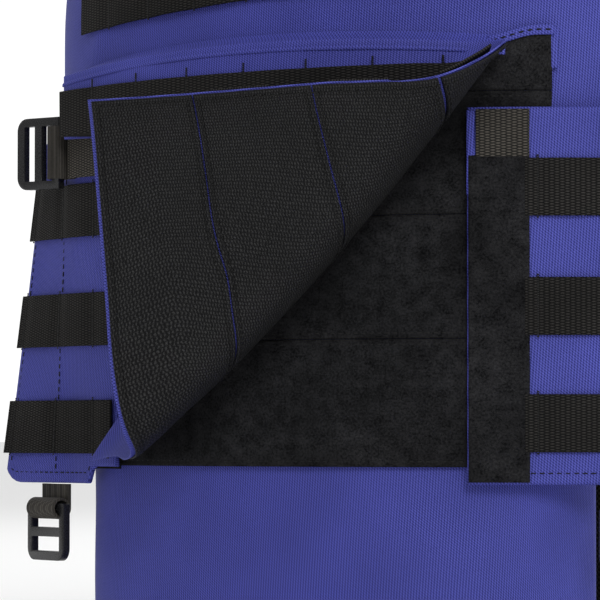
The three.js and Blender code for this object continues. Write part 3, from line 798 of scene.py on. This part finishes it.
for side, sign in (("left", -1), ("right", 1)):
    middle = sign * (SHOULDER_IN + SHOULDER_OUT) / 2
    half = (SHOULDER_OUT - SHOULDER_IN) / 2
    for end, turn_round in (("front", 1), ("back", -1)):
        def strap(u, v, n, middle=middle, turn_round=turn_round):
            """The strap's half arch, turned round to the back for its back half."""
            p = shoulder(u + middle * turn_round, v / STRAP_REACH, n)
            return p * np.array([turn_round, turn_round, 1])
        pad = sheet(f"{side}_shoulder_pad_{end}", strap, (-half, half), (1, 153), 0.6, 10.8, NYLON,
                    step=4, rim=5, grain=0.2)
        node_side = side if end == "front" else ("right" if side == "left" else "left")
        dress(pad, end, "blue_nylon", f"{node_side}_shoulder_{end}")
        band = sheet(f"{side}_shoulder_web_{end}", strap, (-12.5, 12.5), (2, 146), 11.3, 1.5, WEB, step=3)
        dress(band, end, "black_webbing")

        def patch(u, v, n, middle=middle, turn_round=turn_round):
            """A tab of webbing that joins the strap's foot to the panel's top edge."""
            low = wrap(u + middle, TOP_Z - 1 - np.maximum(0, -v), 0.6 + n)
            high = shoulder(u + middle, np.maximum(0, v) / STRAP_REACH, n + 12.4)
            share = smooth((v + 6) / 14)[..., None]
            p = low * (1 - share) + high * share
            return p * np.array([turn_round, turn_round, 1])
        foot = sheet(f"{side}_strap_foot_{end}", patch, (-15, 15), (-26, 20), 0.6, 1.6,
                     WEB, step=2)
        dress(foot, end, "black_webbing")
        hems = [(x, 3, x, 150) for x in (-half + 4, half - 4)]
        dress(thread(f"{side}_shoulder_stitch_{end}", strap, hems, 11.2, THREAD), end, "blue_nylon")

    def over_top(u, v, n, middle=middle):
        """The whole arch: past its top, the front half again with y turned round."""
        p = shoulder(u + middle, np.minimum(v, STRAP_ROUND - v) / STRAP_REACH, n)
        p[..., 1] *= np.where(v > STRAP_TOP, -1, 1)
        return p

    bridge = sheet(f"{side}_shoulder_bridge", over_top, (-17, 17), (118, 196.2), 12.4, 2.4, NYLON, step=2.5)
    dress(bridge, ("front", "back", (0, -0.012, 0.012), (0, 0.012, 0.012)), "blue_nylon")

# ------------------------------------------------------------------ buckles and kept parts

def buckle(node, body):
    """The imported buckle's own mesh with its corners rounded off."""
    data = bpy.data.objects[node].data.copy()
    work = bmesh.new()
    work.from_mesh(data)
    bmesh.ops.remove_doubles(work, verts=work.verts, dist=1e-6)
    bmesh.ops.dissolve_limit(work, angle_limit=math.radians(2), verts=work.verts, edges=work.edges)
    work.to_mesh(data)
    work.free()
    data.materials.clear()
    data.materials.append(PLASTIC)
    piece = bpy.data.objects.new(f"{node}_moulding", data)
    bpy.context.scene.collection.objects.link(piece)
    bevel = piece.modifiers.new("round_edges", "BEVEL")
    bevel.width, bevel.segments, bevel.limit_method = 0.0012, 4, "ANGLE"
    data.shade_smooth()
    dress(piece, body, "buckle_plastic", node)


for side in ("left", "right"):
    for end in ("top", "bottom"):
        buckle(f"{side}_buckle_{end}", f"{side}_{end}_buckle")
for name, look in [(f"{p}_foam_{q}", FOAM) for p in ("front", "back") for q in ("outer", "inner")] + [
        (f"{p}_tab_{q}", TAB_WEB) for p in ("left", "right") for q in ("top", "bottom")]:
    node = bpy.data.objects[name]
    node.data.materials.clear()
    node.data.materials.append(look)

# ------------------------------------------------------------------ camera, light and floor

VIEW_TURN = math.radians(30.1)
VIEW_DISTANCE = 1.705
VIEW_HEIGHT = -0.4
SENSOR = 36
LENS = 227.4
AIM_RIGHT = 0.006306      # to the right for every metre ahead
AIM_UP = 0.034301
FLOOR_Z = -0.52
FLOOR_HALF = 30


def camera():
    """Level with the waist, turned to the vest's right, and aimed a little up and to the right."""
    right = Vector((math.cos(VIEW_TURN), math.sin(VIEW_TURN), 0))
    forward = Vector((-math.sin(VIEW_TURN), math.cos(VIEW_TURN), 0))
    data = bpy.data.cameras.new("camera")
    data.sensor_width = SENSOR
    data.lens = LENS
    data.clip_end = 50
    eye = bpy.data.objects.new("camera", data)
    eye.location = Vector((0, -FRONT_DEPTH * MM, VIEW_HEIGHT)) - forward * VIEW_DISTANCE
    aim = forward + right * AIM_RIGHT + Vector((0, 0, AIM_UP))
    eye.rotation_mode = "QUATERNION"
    eye.rotation_quaternion = aim.to_track_quat("-Z", "Y")
    bpy.context.scene.collection.objects.link(eye)
    bpy.context.scene.camera = eye


def light(name, place, size, watts):
    """A round soft light that faces the middle of the vest."""
    data = bpy.data.lights.new(name, "AREA")
    data.shape = "DISK"
    data.size, data.energy = size, watts
    lamp = bpy.data.objects.new(name, data)
    lamp.location = place
    lamp.rotation_mode = "QUATERNION"
    lamp.rotation_quaternion = (Vector((0, 0, -0.3)) - Vector(place)).to_track_quat("-Z", "Y")
    bpy.context.scene.collection.objects.link(lamp)


camera()
light("key", (1.9, -2.3, 1.3), 1.2, 46)
light("fill", (-2.2, -1.6, 0.9), 2.0, 2)
light("rear", (-0.6, 2.6, 1.6), 1.6, 16)


def room():
    """White behind the vest and a little dimmer on the side that faces its front."""
    made = bpy.data.worlds.new("white_room")
    made.use_nodes = True
    tree = made.node_tree
    way = add(tree, "ShaderNodeSeparateXYZ", {0: add(tree, "ShaderNodeTexCoord").outputs["Generated"]})
    slant = maths(tree, "ADD", maths(tree, "MULTIPLY", way.outputs[1], 0.8),
                  maths(tree, "MULTIPLY", way.outputs[0], 0.35))
    glow = add(tree, "ShaderNodeMapRange", {0: slant, 1: -0.7, 2: 0.4, 3: 0.30, 4: 1.08}).outputs[0]
    tree.links.new(glow, tree.nodes["Background"].inputs["Strength"])
    tree.nodes["Background"].inputs["Color"].default_value = (1, 1, 1, 1)
    return made


bpy.context.scene.world = room()
bpy.context.scene.view_settings.view_transform = "Standard"

floor_data = bpy.data.meshes.new("floor")
floor_data.from_pydata([(x * FLOOR_HALF, y * FLOOR_HALF, FLOOR_Z)
                        for x, y in ((-1, -1), (1, -1), (1, 1), (-1, 1))], [], [(0, 1, 2, 3)])
floor = bpy.data.objects.new("floor", floor_data)
bpy.context.scene.collection.objects.link(floor)
pale = bpy.data.materials.new("pale_floor")
pale.use_nodes = True
pale.node_tree.nodes["Principled BSDF"].inputs["Base Color"].default_value = (0.96, 0.96, 0.96, 1)
pale.node_tree.nodes["Principled BSDF"].inputs["Roughness"].default_value = 0.9
floor_data.materials.append(pale)
